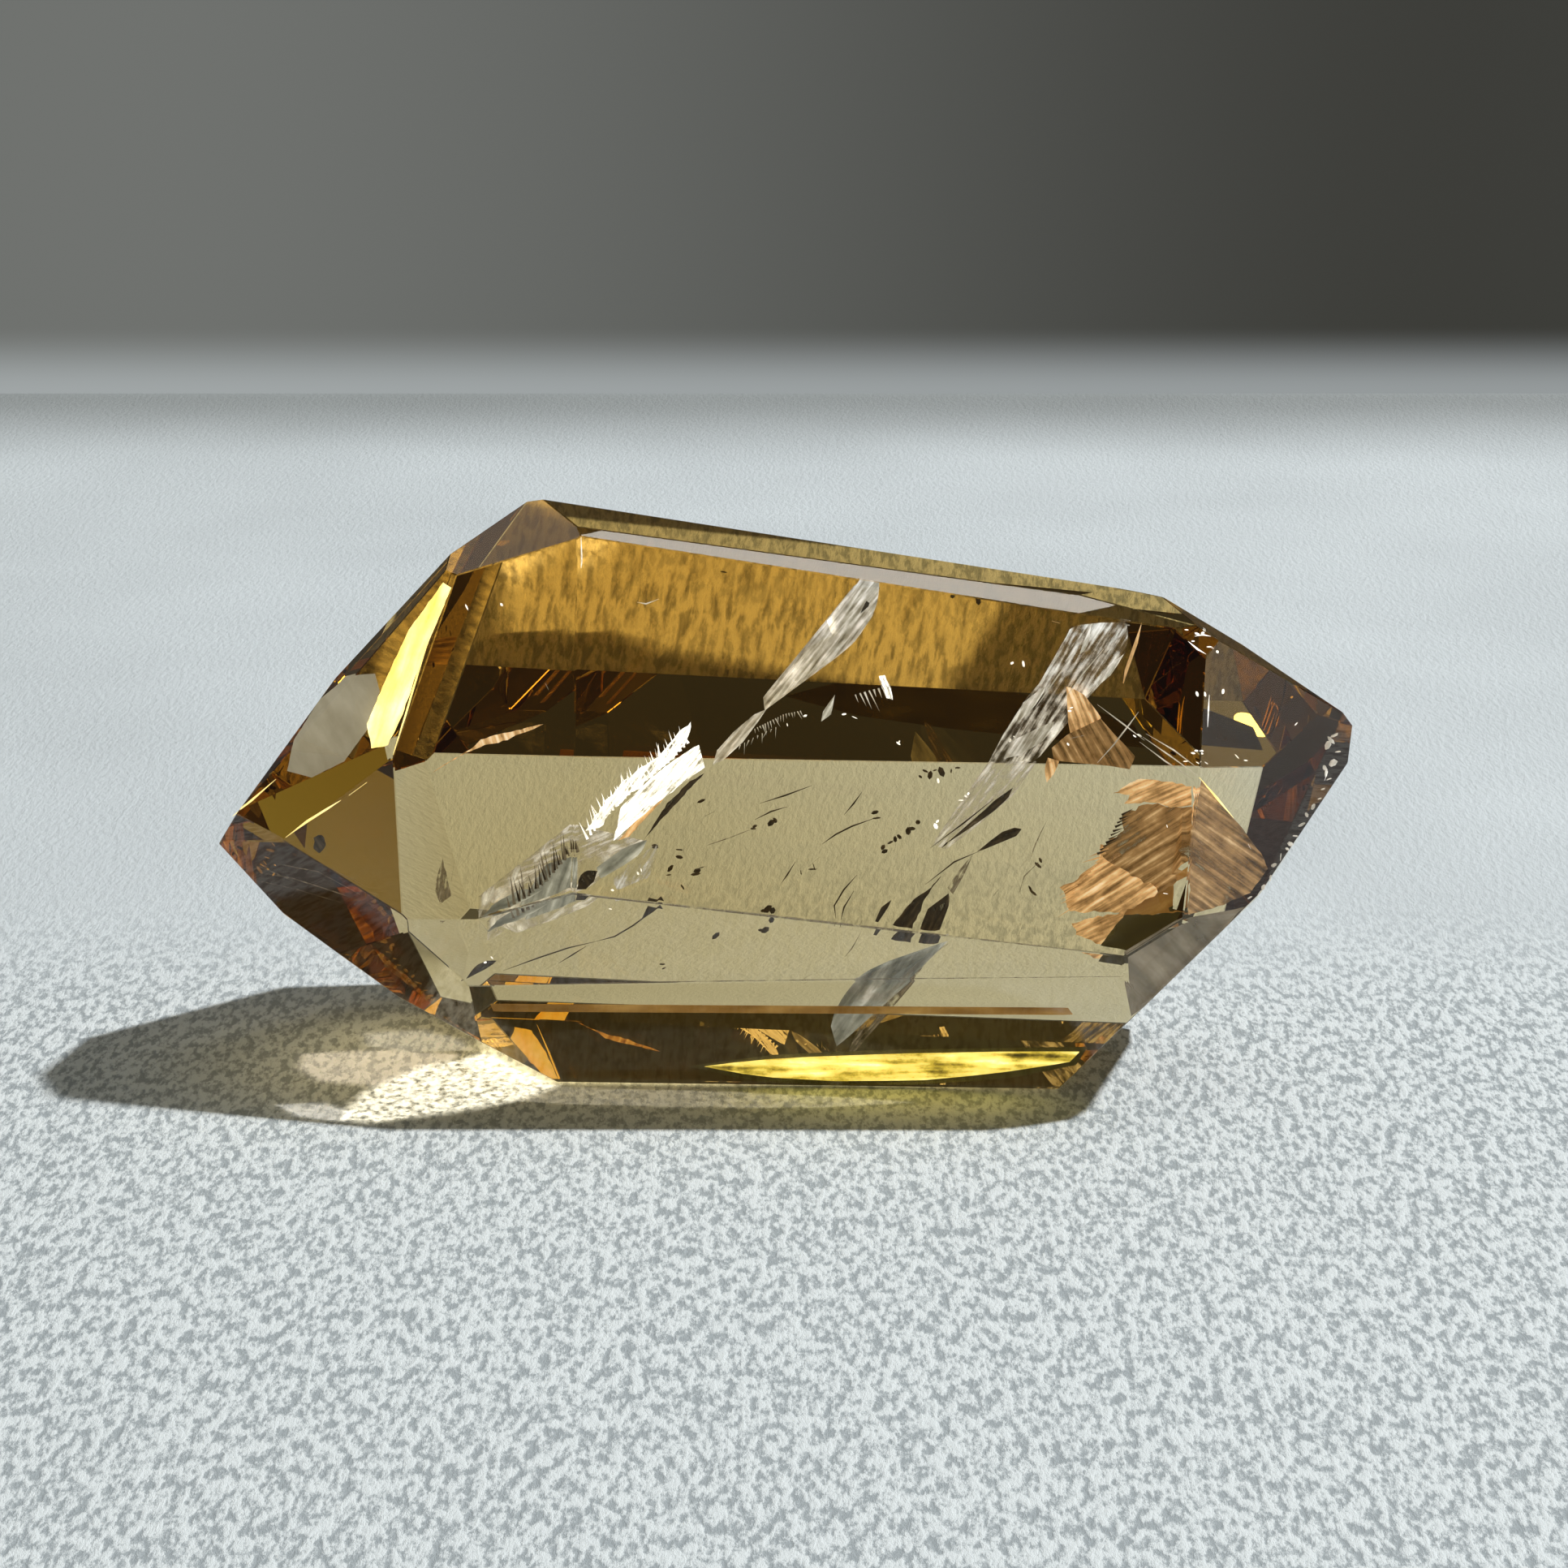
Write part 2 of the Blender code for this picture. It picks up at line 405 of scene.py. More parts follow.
skins = {
    "silver_veil": dict(tones=((0.34, (0.05, 0.035, 0.015)), (0.42, (0.30, 0.27, 0.20)),
        (0.50, (0.52, 0.49, 0.41)), (0.62, (1.0, 0.97, 0.92))), painted_glow=0.62, mirror=0.5, rough=(0.08, 0.35),
        grain=900.0, streaks=(2.0, 22.0), cover=(0.28, 0.36, 0.35, 0.97)),
    "haze_veil": dict(tones=((0.36, (0.07, 0.05, 0.022)), (0.46, (0.30, 0.27, 0.21)),
        (0.55, (0.62, 0.60, 0.55)), (0.66, (1.0, 1.0, 0.98))), painted_glow=0.55, mirror=0.5, rough=(0.08, 0.35),
        grain=1100.0, streaks=(2.2, 20.0), cover=(0.44, 0.60, 0.10, 0.85)),
    # painted highlight: white tones that shine strongly by themselves, for the feather's white gleam and for
    # glints
    "bright_feather": dict(tones=((0.36, (0.22, 0.20, 0.15)), (0.46, (0.62, 0.60, 0.54)),
        (0.55, (1.0, 1.0, 1.0)), (0.70, (1.0, 1.0, 1.0))), painted_glow=1.5, mirror=0.2, rough=(0.10, 0.30),
        grain=1800.0, streaks=(3.0, 34.0), cover=(0.38, 0.50, 0.15, 1.0)),
    "smoky_flake": dict(tones=((0.30, (0.008, 0.005, 0.002)), (0.50, (0.035, 0.022, 0.008)),
        (0.62, (0.10, 0.07, 0.035)), (0.72, (0.45, 0.38, 0.26))), painted_glow=0.35, mirror=0.0, rough=(0.25, 0.6),
        grain=1600.0, streaks=(2.0, 18.0), cover=(0.34, 0.46, 0.45, 0.97)),
    "dim_flake": dict(tones=((0.30, (0.05, 0.038, 0.02)), (0.50, (0.13, 0.10, 0.06)),
        (0.62, (0.26, 0.22, 0.15)), (0.72, (0.6, 0.55, 0.45))), painted_glow=0.5, mirror=0.1, rough=(0.25, 0.6),
        grain=1500.0, streaks=(3.0, 24.0), cover=(0.42, 0.56, 0.05, 0.8)),
    "tan_plate": dict(tones=((0.36, (0.10, 0.05, 0.012)), (0.45, (0.34, 0.19, 0.07)),
        (0.54, (0.70, 0.44, 0.20)), (0.66, (1.0, 0.84, 0.60))), painted_glow=0.85, mirror=0.2, rough=(0.15, 0.5),
        grain=700.0, streaks=(1.4, 16.0), cover=(0.22, 0.34, 0.6, 0.97)),
    "brown_plate": dict(tones=((0.36, (0.05, 0.026, 0.006)), (0.46, (0.16, 0.085, 0.024)),
        (0.55, (0.36, 0.21, 0.08)), (0.66, (0.75, 0.55, 0.30))), painted_glow=0.65, mirror=0.2, rough=(0.15, 0.5),
        grain=600.0, streaks=(1.0, 14.0), cover=(0.36, 0.50, 0.35, 0.92)),
    "orange_glass": dict(tones=((0.35, (0.14, 0.065, 0.012)), (0.50, (0.26, 0.135, 0.03)),
        (0.62, (0.42, 0.25, 0.07)), (0.72, (0.9, 0.7, 0.4))), painted_glow=0.6, mirror=0.1, rough=(0.1, 0.3),
        grain=300.0, streaks=(1.0, 5.0), cover=(0.20, 0.32, 0.8, 0.95)),
    "olive_glass": dict(tones=((0.35, (0.028, 0.020, 0.003)), (0.60, (0.055, 0.042, 0.008)),
        (0.70, (0.09, 0.07, 0.015)), (0.80, (0.2, 0.16, 0.05))), painted_glow=0.55, mirror=0.1, rough=(0.1, 0.3),
        grain=250.0, streaks=(1.0, 4.0), cover=(0.20, 0.32, 0.85, 0.95)),
    "grey_leaf": dict(tones=((0.32, (0.05, 0.05, 0.035)), (0.45, (0.16, 0.16, 0.13)),
        (0.56, (0.34, 0.34, 0.29)), (0.68, (0.8, 0.8, 0.74))), painted_glow=0.6, mirror=0.5, rough=(0.1, 0.3),
        grain=500.0, streaks=(1.2, 9.0), cover=(0.22, 0.34, 0.6, 0.95)),
    # painted gleam: gold tones that shine by themselves
    "gold_gleam": dict(tones=((0.30, (0.9, 0.62, 0.10)), (0.45, (1.0, 0.80, 0.25)),
        (0.60, (1.0, 0.92, 0.5)), (0.70, (1.0, 1.0, 0.85))), painted_glow=1.1, mirror=0.0, rough=(0.2, 0.4),
        grain=500.0, streaks=(1.0, 6.0), cover=(0.25, 0.40, 0.5, 0.95)),
    # painted gleam: the glowing gold strip seen through the foot of the stone
    "painted_foot_gleam": dict(tones=((0.34, (0.20, 0.12, 0.01)), (0.46, (0.55, 0.42, 0.05)),
        (0.58, (0.95, 0.83, 0.25)), (0.70, (1.0, 1.0, 0.8))), painted_glow=1.0, mirror=0.0, rough=(0.2, 0.4),
        grain=600.0, streaks=(0.8, 9.0), cover=(0.36, 0.54, 0.0, 0.95)),
    # painted light: a pale glowing tone for an oval where light bent through the stone shows
    "painted_pale_gleam": dict(tones=((0.30, (0.20, 0.165, 0.10)), (0.50, (0.30, 0.265, 0.18)),
        (0.70, (0.42, 0.38, 0.28))), painted_glow=0.85, mirror=0.0, rough=(0.2, 0.4), grain=200.0,
        streaks=(1.0, 3.0), cover=(0.15, 0.25, 0.8, 0.92)),
    # painted shade: a dark tone that darkens a facet
    "painted_shade_glass": dict(tones=((0.36, (0.08, 0.065, 0.04)), (0.48, (0.14, 0.115, 0.075)),
        (0.60, (0.22, 0.185, 0.13)), (0.70, (0.35, 0.31, 0.24))), painted_glow=0.7, mirror=0.1, rough=(0.1, 0.3),
        grain=300.0, streaks=(0.8, 3.0), cover=(0.25, 0.45, 0.72, 0.92)),
}


def skinFinish(name, values):  # streaked along its own direction, with see-through gaps
    finish = Finish(name)
    place = finish.node("ShaderNodeTexCoord", None, None, "Object")
    run = finish.node("ShaderNodeTexCoord", None, None, "UV")
    patches = finish.noise(place, values["grain"], 5.0, 0.65)
    along, across = values["streaks"]
    stretched = finish.node("ShaderNodeMapping", None, {"Vector": run, "Scale": (along, across, 1.0)})
    streaks = finish.noise(stretched, 1.0, 5.0)
    tone = finish.ramp(values["tones"], streaks * 0.6 + patches * 0.4)
    cover = finish.fade(streaks * 0.5 + patches * 0.5, *values["cover"])
    smooth, dull = values["rough"]
    tilt = finish.node("ShaderNodeBump", None, {
        "Height": streaks + patches * 0.5, "Strength": 0.6, "Distance": 0.05 * mm})
    # the emission makes the finish shine by itself in its own tones: painted glints and sheen, lit by no
    # lamp
    return finish.close(finish.node("ShaderNodeBsdfPrincipled", None, {
        "Base Color": tone, "Metallic": values["mirror"], "Roughness": smooth + patches * (dull - smooth),
        "Alpha": cover, "Normal": tilt, "Emission Color": tone, "Emission Strength": values["painted_glow"]}))


finishes = {name: skinFinish(name, values) for name, values in skins.items()}


# every leaf is an outline of picture spots; depth is its share of the way to the back facet at the
# first spot, and slope how much that changes over 100 picture units to the right and down

leaves = {
    # the long veil that falls from the table to the left
    "veil_head": dict(finish="silver_veil", depth=0.06, slope=(-0.10, 0.10), streaks=128, seed=3,
        outline=[(1059, 714), (1084, 718), (1082, 738), (1075, 760), (1052, 791), (1025, 814), (993, 832),
        (965, 855), (943, 875), (940, 859), (970, 830), (993, 800), (1025, 782), (1018, 764),
        (1038, 741)]),
    "veil_neck": dict(finish="silver_veil", depth=0.2, slope=(0.0, 0.03), streaks=130, seed=4, jag=1.2,
        outline=[(944, 874), (936, 886), (915, 914), (893, 935), (878, 943), (884, 925), (903, 903),
        (929, 881)]),
    "veil_notch": dict(finish="smoky_flake", depth=0.08, slope=(0.0, 0.08), streaks=120, seed=6,
        outline=[(1077, 719), (1084, 724), (1076, 742), (1060, 756), (1070, 738)]),
    "feather_core": dict(finish="bright_feather", depth=0.16, slope=(0.02, 0.0), streaks=133, seed=5,
        jag=1.2, outline=[(861, 918), (868, 945), (838, 968), (797, 1000), (765, 1027), (756, 1036),
        (765, 995), (802, 959), (838, 932)]),
    "feather_plume": dict(finish="bright_feather", depth=0.15, slope=(0.02, 0.0), streaks=125, seed=7,
        jag=3.0, outline=[(853, 890), (846, 912), (830, 934), (790, 968), (756, 995), (738, 1020),
        (722, 1024), (743, 991), (770, 961), (815, 928), (838, 902)]),
    "feather_shadow": dict(finish="smoky_flake", depth=0.2, streaks=130, seed=9, jag=1.0,
        outline=[(868, 953), (843, 979), (797, 1030), (792, 1037), (822, 990), (850, 963)]),
    "feather_slip": dict(finish="tan_plate", depth=0.18, streaks=130, seed=10, jag=1.0,
        outline=[(818, 984), (796, 1008), (775, 1030), (762, 1036), (786, 1008)]),
    "veil_foot": dict(finish="haze_veil", depth=0.2, slope=(-0.02, 0.1), streaks=150, seed=8, jag=4.0,
        outline=[(706, 1016), (761, 1036), (797, 1036), (738, 1070), (727, 1090), (711, 1093), (679, 1105),
        (593, 1134), (611, 1114), (656, 1084), (679, 1045)]),
    "veil_grain": dict(finish="grey_leaf", depth=0.18, slope=(0.0, 0.05), streaks=140, seed=21, jag=2.5,
        outline=[(797, 1035), (786, 1054), (764, 1066), (740, 1082), (736, 1070), (765, 1048)]),
    "veil_spur": dict(finish="grey_leaf", depth=0.17, slope=(0.0, 0.05), streaks=110, seed=22, jag=3.0,
        outline=[(704, 1056), (710, 1092), (676, 1102), (640, 1116), (660, 1090), (672, 1066), (684, 1078),
        (690, 1062)]),
    "veil_tail": dict(finish="grey_leaf", depth=0.19, slope=(0.0, 0.05), streaks=155, seed=23, jag=2.0,
        outline=[(668, 1096), (640, 1112), (604, 1126), (590, 1134), (606, 1116), (640, 1096)]),
    "veil_blot": dict(finish="smoky_flake", depth=0.15, streaks=60, seed=24, jag=2.0, outline=[(715, 1077),
        (724, 1072), (735, 1073), (732, 1086), (722, 1096), (711, 1096), (712, 1085)]),
    "veil_glass": dict(finish="haze_veil", depth=0.16, streaks=120, seed=25, jag=2.0, outline=[(811, 1036),
        (806, 1062), (797, 1082), (761, 1096), (756, 1082), (788, 1055)]),
    "comb_sliver": dict(finish="tan_plate", depth=0.14, streaks=70, seed=19, jag=1.6, outline=[(669, 892),
        (646, 903), (620, 913), (597, 918), (580, 925), (556, 938), (532, 952), (560, 934), (584, 921),
        (592, 911), (620, 903), (647, 898)]),
    "left_diamond": dict(finish="dim_flake", depth=0.3, streaks=95, seed=26, jag=1.0, outline=[(545, 1056),
        (556, 1104), (543, 1114), (535, 1096)]),
    # the broad silvery veil on the right
    "right_veil_head": dict(finish="haze_veil", depth=0.12, slope=(0.02, 0.08), streaks=122, seed=12,
        jag=4.0, outline=[(1318, 773), (1393, 765), (1385, 803), (1356, 840), (1331, 865), (1302, 907),
        (1277, 936), (1218, 940), (1243, 894), (1277, 848), (1310, 802)]),
    "right_veil_gleam": dict(finish="silver_veil", depth=0.1, slope=(0.0, 0.08), streaks=125, seed=13,
        jag=3.0, outline=[(1300, 890), (1285, 912), (1262, 928), (1236, 934), (1252, 912), (1276, 898)]),
    "right_veil_thread": dict(finish="silver_veil", depth=0.1, slope=(0.0, 0.08), streaks=122, seed=16,
        jag=2.0, outline=[(1345, 770), (1340, 796), (1330, 806), (1338, 785)]),
    "right_veil_slip": dict(finish="silver_veil", depth=0.11, slope=(0.0, 0.08), streaks=122, seed=18,
        jag=2.0, outline=[(1384, 806), (1368, 832), (1352, 845), (1364, 824)]),
    "right_veil_lace": dict(finish="silver_veil", depth=0.12, slope=(0.0, 0.08), streaks=122, seed=28,
        jag=2.5, outline=[(1288, 846), (1276, 868), (1252, 892), (1262, 868)]),
    "right_veil_body": dict(finish="haze_veil", depth=0.22, slope=(0.0, 0.1), streaks=130, seed=14,
        jag=4.0, outline=[(1218, 942), (1277, 938), (1250, 975), (1210, 1010), (1165, 1046), (1150, 1040),
        (1185, 1000)]),
    "right_shard": dict(finish="tan_plate", depth=0.14, slope=(0.0, 0.05), streaks=70, seed=31,
        outline=[(1314, 846), (1336, 856), (1356, 884), (1346, 930), (1322, 912), (1316, 890),
        (1326, 872)]),
    "right_shard_dark": dict(finish="brown_plate", depth=0.15, slope=(0.0, 0.05), streaks=60, seed=32,
        jag=2.0, outline=[(1356, 886), (1398, 932), (1392, 946), (1300, 936), (1296, 922), (1318, 904),
        (1342, 926)]),
    "right_shard_drop": dict(finish="tan_plate", depth=0.16, slope=(0.0, 0.05), streaks=80, seed=33,
        jag=1.0, outline=[(1291, 934), (1305, 938), (1298, 954), (1289, 964), (1287, 950)]),
    "blade_long": dict(finish="smoky_flake", depth=0.18, slope=(0.0, 0.05), streaks=140, seed=34, jag=1.2,
        outline=[(1248, 971), (1243, 982), (1214, 1007), (1177, 1032), (1160, 1044), (1197, 1013),
        (1227, 986)]),
    "blade_short": dict(finish="smoky_flake", depth=0.18, slope=(0.0, 0.05), streaks=155, seed=35, jag=1.6,
        outline=[(1258, 1021), (1252, 1031), (1240, 1030), (1205, 1050), (1220, 1037), (1235, 1026),
        (1250, 1020)]),
    "wedge_left": dict(finish="smoky_flake", depth=0.2, slope=(0.0, 0.05), streaks=125, seed=36, jag=1.6,
        outline=[(1160, 1079), (1149, 1092), (1122, 1112), (1100, 1140), (1124, 1144), (1136, 1116),
        (1150, 1090)]),
    "wedge_right": dict(finish="smoky_flake", depth=0.2, slope=(0.0, 0.05), streaks=115, seed=37, jag=1.6,
        outline=[(1170, 1101), (1168, 1116), (1158, 1147), (1134, 1145), (1143, 1120), (1158, 1110)]),
    "wedge_small": dict(finish="smoky_flake", depth=0.2, slope=(0.0, 0.05), streaks=115, seed=38, jag=0.8,
        outline=[(1098, 1109), (1094, 1118), (1082, 1136), (1078, 1135), (1086, 1118)]),
    "wedge_seam": dict(finish="dim_flake", depth=0.2, slope=(0.0, 0.05), streaks=120, seed=39, jag=1.6,
        outline=[(1199, 1053), (1188, 1076), (1174, 1102), (1168, 1094), (1184, 1070)]),
    "grey_leaf": dict(finish="grey_leaf", depth=0.12, streaks=125, seed=17, outline=[(1031, 1289),
        (1023, 1264), (1036, 1232), (1061, 1200), (1096, 1184), (1168, 1160), (1128, 1188), (1098, 1214),
        (1078, 1240), (1054, 1268)]),
    "leaf_haze": dict(finish="dim_flake", depth=0.14, streaks=130, seed=27, jag=3.0, outline=[(1168, 1162),
        (1122, 1196), (1092, 1230), (1060, 1290), (1044, 1300), (1074, 1236), (1100, 1206)]),
    # stepped plates at the right end of the large facet
    "plate_finger": dict(finish="tan_plate", depth=0.2, streaks=-22, seed=41, jag=2.5,
        outline=[(1372, 977), (1402, 959), (1432, 962), (1468, 969), (1468, 992), (1443, 994), (1422, 988),
        (1387, 991), (1392, 980)]),
    "plate_upper": dict(finish="brown_plate", depth=0.22, streaks=-32, seed=42, jag=4.0,
        outline=[(1383, 1003), (1414, 991), (1469, 994), (1466, 1073), (1410, 1088), (1354, 1052),
        (1364, 1038), (1385, 1023)]),
    "plate_middle": dict(finish="tan_plate", depth=0.24, streaks=-32, seed=43, jag=4.0,
        outline=[(1356, 1040), (1376, 1048), (1406, 1073), (1427, 1100), (1385, 1125), (1318, 1123),
        (1306, 1094), (1327, 1082), (1352, 1066)]),
    "plate_lower": dict(finish="tan_plate", depth=0.25, streaks=-25, seed=44, jag=3.0,
        outline=[(1320, 1137), (1364, 1127), (1386, 1125), (1357, 1163), (1327, 1151)]),
    "plate_step": dict(finish="brown_plate", depth=0.26, streaks=-35, seed=45, jag=3.0,
        outline=[(1390, 1050), (1466, 1020), (1466, 1078), (1424, 1102), (1384, 1112), (1372, 1084)]),
    "plate_amber": dict(finish="orange_glass", depth=0.27, streaks=-20, seed=46, jag=2.0,
        outline=[(1385, 1113), (1430, 1092), (1463, 1068), (1463, 1122), (1420, 1127), (1377, 1128)]),
    "plate_olive": dict(finish="olive_glass", depth=0.28, streaks=-25, seed=47, jag=0.8,
        outline=[(1356, 1165), (1378, 1126), (1420, 1127), (1462, 1122), (1462, 1131), (1388, 1171)]),
    "plate_side": dict(finish="brown_plate", depth=0.06, streaks=35, seed=48,
        outline=[(1480, 962), (1502, 988), (1532, 1022), (1556, 1056), (1562, 1070), (1540, 1100),
        (1502, 1117), (1464, 1127), (1468, 1060), (1474, 1000)]),
    "plate_fan": dict(finish="tan_plate", depth=0.1, streaks=40, seed=49, jag=3.0, outline=[(1478, 968),
        (1498, 1000), (1520, 1030), (1536, 1064), (1520, 1090), (1496, 1098), (1480, 1060), (1474, 1010)]),
    # painted shade: a dark leaf that darkens the lower right facet
    "painted_skirt_shade": dict(finish="painted_shade_glass", depth=0.1, streaks=50, seed=50, jag=1.0,
        outline=[(1390, 1180), (1458, 1138), (1534, 1117), (1500, 1150), (1450, 1198), (1394, 1252)]),
    # painted light close under the polished facets: glowing leaves that stand in for gleams of light bent
    # through the stone, a painted colour fringe, and a dark leaf of painted shade behind the foot gleam
    # painted gleam: a gold glowing leaf for the light that shines out of the left end
    "painted_point_gleam": dict(finish="gold_gleam", depth=0.02, streaks=110, seed=61, jag=1.0,
        outline=[(546, 718), (556, 724), (520, 810), (496, 880), (478, 918), (458, 922), (452, 892),
        (476, 836), (504, 776)]),
    # painted light: a pale glowing patch for the oval that light bent through the stone makes
    "painted_point_oval": dict(finish="painted_pale_gleam", depth=0.03, streaks=60, seed=64, jag=0.5, outline=[(462, 830),
        (468, 852), (452, 900), (424, 938), (384, 958), (354, 950), (362, 912), (394, 862), (430, 832)]),
    # painted gleam: a gold glowing strip for the light seen through the foot
    "painted_foot_gleam": dict(finish="painted_foot_gleam", depth=0.02, streaks=0, seed=62, outline=[(868, 1314),
        (960, 1305), (1080, 1300), (1200, 1298), (1330, 1296), (1318, 1308), (1240, 1320), (1140, 1330),
        (1030, 1332), (940, 1326)]),
    # painted shade: a dark leaf that darkens the strip around the foot gleam
    "painted_foot_shade": dict(finish="olive_glass", depth=0.035, streaks=0, seed=65, jag=0.5,
        outline=[(850, 1314), (950, 1300), (1080, 1294), (1200, 1292), (1340, 1290), (1326, 1312),
        (1245, 1328), (1140, 1336), (1030, 1338), (930, 1332)]),
    # painted light: an orange glowing strip for the colour fringe of light split through the stone
    "painted_colour_fringe": dict(finish="orange_glass", depth=0.02, streaks=0, seed=63, jag=0.5,
        outline=[(604, 1237), (800, 1239), (1000, 1240), (1316, 1242), (1322, 1250), (1000, 1248),
        (800, 1247), (608, 1246)]),
    # small glassy pieces, and two glowing glints of painted light
    "glint_loop": dict(finish="bright_feather", depth=0.15, streaks=70, seed=51, jag=1.0, step=4.0,
        outline=[(1083, 833), (1090, 832), (1098, 848), (1100, 862), (1093, 860), (1086, 848)]),
    "glint_triangle": dict(finish="silver_veil", depth=0.15, streaks=120, seed=52, jag=1.0,
        outline=[(1029, 856), (1024, 880), (1012, 889), (1014, 877)]),
    "left_speck_large": dict(finish="smoky_flake", depth=0.1, streaks=60, seed=53, jag=1.6, step=3.0,
        outline=[(386, 1032), (396, 1029), (402, 1040), (394, 1051), (386, 1046)]),
    "girdle_nick": dict(finish="smoky_flake", depth=0.1, streaks=150, seed=54, jag=1.0,
        outline=[(612, 1184), (598, 1194), (586, 1200), (574, 1206), (584, 1192), (600, 1184)]),
    "drop_nick": dict(finish="smoky_flake", depth=0.12, streaks=100, seed=55, jag=1.0,
        outline=[(818, 1110), (804, 1124), (790, 1133), (798, 1116), (806, 1108)]),
}

for name, values in leaves.items():
    makeLeaf(name, values)
print("leaves made:", len(leaves))


# rows of barbs along the feather and the veil, from a rail of picture spots; lean is the way they point

barbRows = {
    "feather_barbs": dict(finish="bright_feather", share=0.14, count=26, length=26, width=2.2,
        lean=(-0.42, -1.0), spread=0.16, seed=2, rail=[(848, 916), (826, 938), (796, 962), (768, 986),
        (744, 1010), (724, 1034)]),
    "plume_barbs": dict(finish="bright_feather", share=0.15, count=14, length=20, width=1.6,
        lean=(-0.2, -1.0), spread=0.2, seed=5, rail=[(812, 932), (780, 962), (752, 990), (734, 1016)]),
    "veil_barbs": dict(finish="dim_flake", share=0.15, count=16, length=34, width=2.4, lean=(-0.12, -1.0),
        spread=0.16, seed=3, rail=[(712, 1050), (690, 1066), (672, 1088), (652, 1104), (628, 1118)]),
    "veil_teeth": dict(finish="smoky_flake", share=0.14, count=12, length=28, width=1.6,
        lean=(-0.18, -1.0), spread=0.2, seed=4, rail=[(704, 1046), (684, 1072), (662, 1094), (640, 1110)]),
    "hanging_ticks": dict(finish="silver_veil", share=0.16, count=18, length=11, width=0.9,
        lean=(0.3, 1.0), spread=0.3, seed=6, rail=[(930, 898), (946, 890), (966, 880), (986, 876)]),
    "hanging_ticks_low": dict(finish="silver_veil", share=0.17, count=9, length=13, width=0.8,
        lean=(-0.2, 1.0), spread=0.3, seed=8, rail=[(912, 918), (934, 906), (956, 896)]),
    "glint_ticks": dict(finish="silver_veil", share=0.15, count=8, length=26, width=1.3, lean=(0.35, 1.0),
        spread=0.14, seed=9, rail=[(1054, 856), (1074, 850), (1094, 846)]),
    "plate_fringe": dict(finish="smoky_flake", share=0.2, count=11, length=24, width=1.6,
        lean=(1.0, -0.42), spread=0.14, seed=10, rail=[(1382, 1004), (1366, 1034), (1352, 1052)]),
    "plate_bristles": dict(finish="tan_plate", share=0.22, count=16, length=22, width=1.6,
        lean=(-1.0, 0.5), spread=0.2, seed=11, rail=[(1366, 1046), (1346, 1072), (1326, 1092),
        (1322, 1118)]),
}

barbs = barbTree()
leanReach = 20  # picture units from the rail to the spot that gives the barbs' direction


def makeBarbs(name, values):
    share, rail = values["share"], values["rail"]
    x, y = rail[len(rail) // 2]
    tipX, tipY = (start + lean * leanReach for start, lean in zip((x, y), values["lean"]))
    toward = (sight.inside(tipX, tipY, share) - sight.inside(x, y, share)).normalized()
    shapeWith(barbs, name, lineMesh(name, [[(*spot, share) for spot in rail]]), {
        "Count": values["count"], "Toward": toward, "Spread": values["spread"], "Seed": values["seed"],
        "Length": values["length"] * pictureUnit, "Width": values["width"] * pictureUnit,
        "Finish": finishes[values["finish"]]})


for name, values in barbRows.items():
    makeBarbs(name, values)
print("rows of barbs made:", len(barbRows))


# fine lines, each a chain of picture spots at one share of the depth

